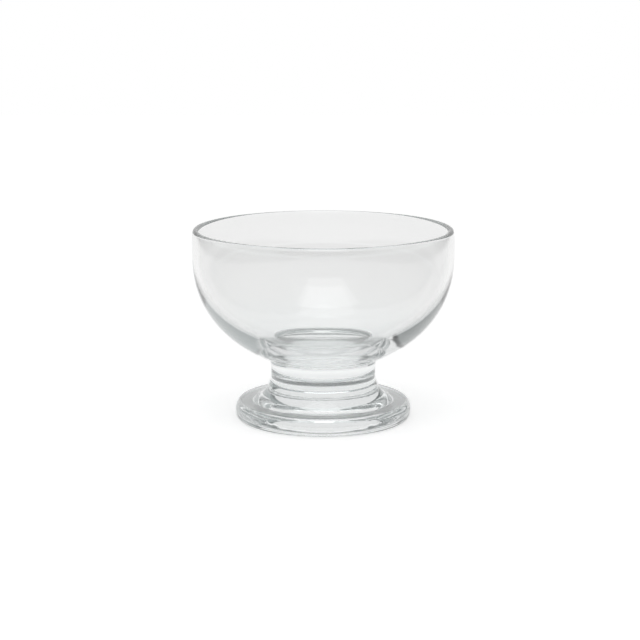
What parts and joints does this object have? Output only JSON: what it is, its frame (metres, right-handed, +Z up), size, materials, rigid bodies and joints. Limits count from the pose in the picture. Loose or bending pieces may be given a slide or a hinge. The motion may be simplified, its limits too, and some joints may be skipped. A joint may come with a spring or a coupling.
{
  "type": "footed dessert glass",
  "caption": "Clear glass dessert bowl on a short thick stem and a heavy round foot, for ice cream, fruit salad or mousse.",
  "frame": {"origin": "on the table, under the middle of the foot", "axes": "+Z is up along the axis that the glass is turned about; X and Y are alike"},
  "size_m": [0.0998, 0.0998, 0.0733],
  "materials": {
    "clear_glass": "fire-polished clear soda-lime glass, faintly blue-green where it is thick"
  },
  "bodies": {
    "root": {"bowl": "clear_glass", "stem": "clear_glass", "foot": "clear_glass"}
  },
  "joints": []
}
